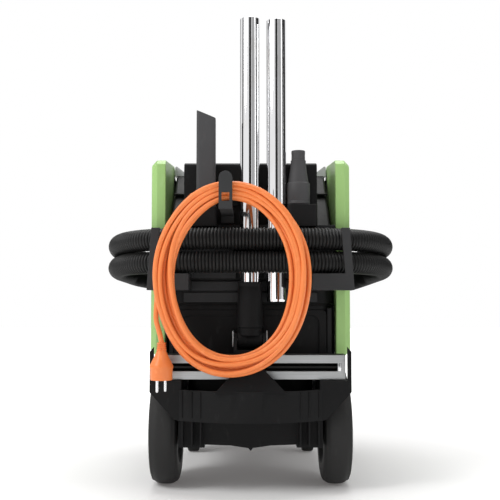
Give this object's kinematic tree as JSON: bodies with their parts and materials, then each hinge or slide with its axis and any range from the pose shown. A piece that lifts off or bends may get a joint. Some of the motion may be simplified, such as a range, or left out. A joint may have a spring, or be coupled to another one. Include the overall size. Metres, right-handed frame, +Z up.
{
  "type": "shop vacuum",
  "caption": "Wheeled canister vacuum with lift-off motor head, coiled mains cord, wrapped suction hose, suction tubes, floor nozzle and tools parked on its back.",
  "frame": {"origin": "on the floor, under the middle of the machine without its free cord and hose", "axes": "+Z up, the tool and cord side faces -Y, the control side faces +Y, +X to the right seen from the tool side"},
  "size_m": [0.5598, 0.6472, 0.845],
  "materials": {
    "black_plastic": "fine-grained satin moulding",
    "grey_plastic": "fine-grained satin moulding",
    "light_grey_plastic": "fine-grained satin moulding",
    "green_plastic": "satin moulding",
    "float_plastic": "plain",
    "orange_sheath": "soft satin cord sheath",
    "black_rubber": "matte",
    "hose_plastic": "corrugated satin",
    "steel": "brushed",
    "chrome": "polished",
    "filter_paper": "pleated",
    "board": "coated"
  },
  "bodies": {
    "chassis": {"chassis": "black_plastic", "rear_axle": "steel", "tank": "black_plastic", "tank_seal": "black_rubber", "inlet_port": "grey_plastic", "rail_left": "green_plastic", "rail_right": "green_plastic", "rear_rack": "grey_plastic", "tool_cup_left": "black_plastic", "tool_cup_right": "black_plastic", "tube_clip": "black_plastic", "hose": "hose_plastic", "hose_cuff": "hose_plastic", "hose_grip": "hose_plastic"},
    "wheel_left": {"wheel_left": "black_plastic"},
    "wheel_right": {"wheel_right": "black_plastic"},
    "caster_left": {"caster_fork_left": "grey_plastic"},
    "caster_right": {"caster_fork_right": "grey_plastic"},
    "caster_wheel_left": {"caster_wheel_left": "black_rubber"},
    "caster_wheel_right": {"caster_wheel_right": "black_rubber"},
    "brake_left": {"caster_brake_left": "black_rubber"},
    "brake_right": {"caster_brake_right": "black_rubber"},
    "head": {"head_base": "black_plastic", "head_shell": "black_plastic", "rear_panel": "black_plastic", "top_cover": "light_grey_plastic", "control_panel": "grey_plastic", "power_socket": "grey_plastic", "exhaust_grille": "black_plastic", "motor_housing": "grey_plastic", "motor": "steel", "filter_left": "filter_paper", "filter_right": "filter_paper", "filter_shaker": "grey_plastic", "circuit_board": "board", "float_cage": "grey_plastic", "cord_gland": "black_plastic", "cord_hook": "grey_plastic", "cord_lead": "orange_sheath", "cord_coil": "orange_sheath", "cord_tail": "orange_sheath", "power_plug": "orange_sheath"},
    "handle": {"handle": "grey_plastic"},
    "power_switch": {"power_switch": "grey_plastic"},
    "suction_dial": {"suction_dial": "grey_plastic"},
    "clean_button": {"clean_button": "green_plastic"},
    "socket_lid": {"socket_lid": "grey_plastic"},
    "latch_left": {"latch_left": "grey_plastic"},
    "latch_right": {"latch_right": "grey_plastic"},
    "impeller": {"impeller": "steel"},
    "float_ball": {"float_ball": "float_plastic"},
    "nozzle_neck": {"nozzle_neck": "black_plastic"},
    "nozzle_head": {"nozzle_body": "black_plastic", "nozzle_sole": "steel", "nozzle_lip": "black_rubber", "elbow_clip": "steel"},
    "suction_tube_left": {"suction_tube_left": "chrome"},
    "suction_tube_right": {"suction_tube_right": "chrome"},
    "crevice_tool": {"crevice_tool": "grey_plastic"},
    "tool_adapter": {"tool_adapter": "grey_plastic"}
  },
  "joints": [
    {"name": "wheel_left_spin", "type": "hinge", "parent": "chassis", "child": "wheel_left", "pos_m": [-0.156, -0.145, 0.098], "axis": [1, 0, 0], "continuous": true},
    {"name": "caster_left_swivel", "type": "hinge", "parent": "chassis", "child": "caster_left", "pos_m": [-0.125, 0.205, 0.1], "axis": [0, 0, 1], "continuous": true},
    {"name": "caster_wheel_left_spin", "type": "hinge", "parent": "caster_left", "child": "caster_wheel_left", "pos_m": [-0.125, 0.183, 0.0375], "axis": [1, 0, 0], "continuous": true},
    {"name": "brake_left_press", "type": "hinge", "parent": "caster_left", "child": "brake_left", "pos_m": [-0.125, 0.16, 0.089], "axis": [1, 0, 0], "range_deg": [0, 12]},
    {"name": "wheel_right_spin", "type": "hinge", "parent": "chassis", "child": "wheel_right", "pos_m": [0.156, -0.145, 0.098], "axis": [1, 0, 0], "continuous": true},
    {"name": "caster_right_swivel", "type": "hinge", "parent": "chassis", "child": "caster_right", "pos_m": [0.125, 0.205, 0.1], "axis": [0, 0, 1], "continuous": true},
    {"name": "caster_wheel_right_spin", "type": "hinge", "parent": "caster_right", "child": "caster_wheel_right", "pos_m": [0.125, 0.183, 0.0375], "axis": [1, 0, 0], "continuous": true},
    {"name": "brake_right_press", "type": "hinge", "parent": "caster_right", "child": "brake_right", "pos_m": [0.125, 0.16, 0.089], "axis": [1, 0, 0], "range_deg": [0, 12]},
    {"name": "head_lift", "type": "slide", "parent": "chassis", "child": "head", "axis": [0, 0, 1], "range_m": [0, 0.35]},
    {"name": "handle_fold", "type": "hinge", "parent": "head", "child": "handle", "pos_m": [0, 0.02, 0.5945], "axis": [1, 0, 0], "range_deg": [0, 95]},
    {"name": "switch_turn", "type": "hinge", "parent": "head", "child": "power_switch", "pos_m": [-0.085, 0.24095, 0.52648], "axis": [0, 0.9706, 0.2405], "range_deg": [-60, 60]},
    {"name": "dial_turn", "type": "hinge", "parent": "head", "child": "suction_dial", "pos_m": [0, 0.23782, 0.5391], "axis": [0, 0.9706, 0.2405], "range_deg": [-135, 135]},
    {"name": "clean_press", "type": "slide", "parent": "head", "child": "clean_button", "axis": [0, -0.9706, -0.2405], "range_m": [0, 0.002], "stiffness_N_per_m": 300},
    {"name": "lid_flip", "type": "hinge", "parent": "head", "child": "socket_lid", "pos_m": [0.088, 0.24715, 0.55635], "axis": [1, 0, 0], "range_deg": [0, 100], "stiffness_Nm_per_rad": 0.02, "springref_deg": -17.19},
    {"name": "latch_left_swing", "type": "hinge", "parent": "head", "child": "latch_left", "pos_m": [-0.1575, 0.105, 0.357], "axis": [0, 1, 0], "range_deg": [0, 80]},
    {"name": "latch_right_swing", "type": "hinge", "parent": "head", "child": "latch_right", "pos_m": [0.1575, 0.105, 0.357], "axis": [0, -1, 0], "range_deg": [0, 80]},
    {"name": "impeller_spin", "type": "hinge", "parent": "head", "child": "impeller", "pos_m": [0, 0.155, 0.379], "axis": [0, 0, 1], "continuous": true},
    {"name": "float_rise", "type": "slide", "parent": "head", "child": "float_ball", "axis": [0, 0, 1], "range_m": [0, 0.013]},
    {"name": "nozzle_lift", "type": "slide", "parent": "chassis", "child": "nozzle_neck", "axis": [0, 0, 1], "range_m": [0, 0.015]},
    {"name": "nozzle_tilt", "type": "hinge", "parent": "nozzle_neck", "child": "nozzle_head", "pos_m": [-0.001, -0.19, 0.262], "axis": [-1, 0, 0], "range_deg": [0, 60]},
    {"name": "tube_left_pull", "type": "slide", "parent": "nozzle_neck", "child": "suction_tube_left", "axis": [0, 0, 1], "range_m": [0, 0.2]},
    {"name": "tube_right_pull", "type": "slide", "parent": "chassis", "child": "suction_tube_right", "axis": [0, 0, 1], "range_m": [0, 0.25]},
    {"name": "crevice_pull", "type": "slide", "parent": "chassis", "child": "crevice_tool", "axis": [0, 0, 1], "range_m": [0, 0.12]},
    {"name": "adapter_pull", "type": "slide", "parent": "chassis", "child": "tool_adapter", "axis": [0, 0, 1], "range_m": [0, 0.12]}
  ]
}
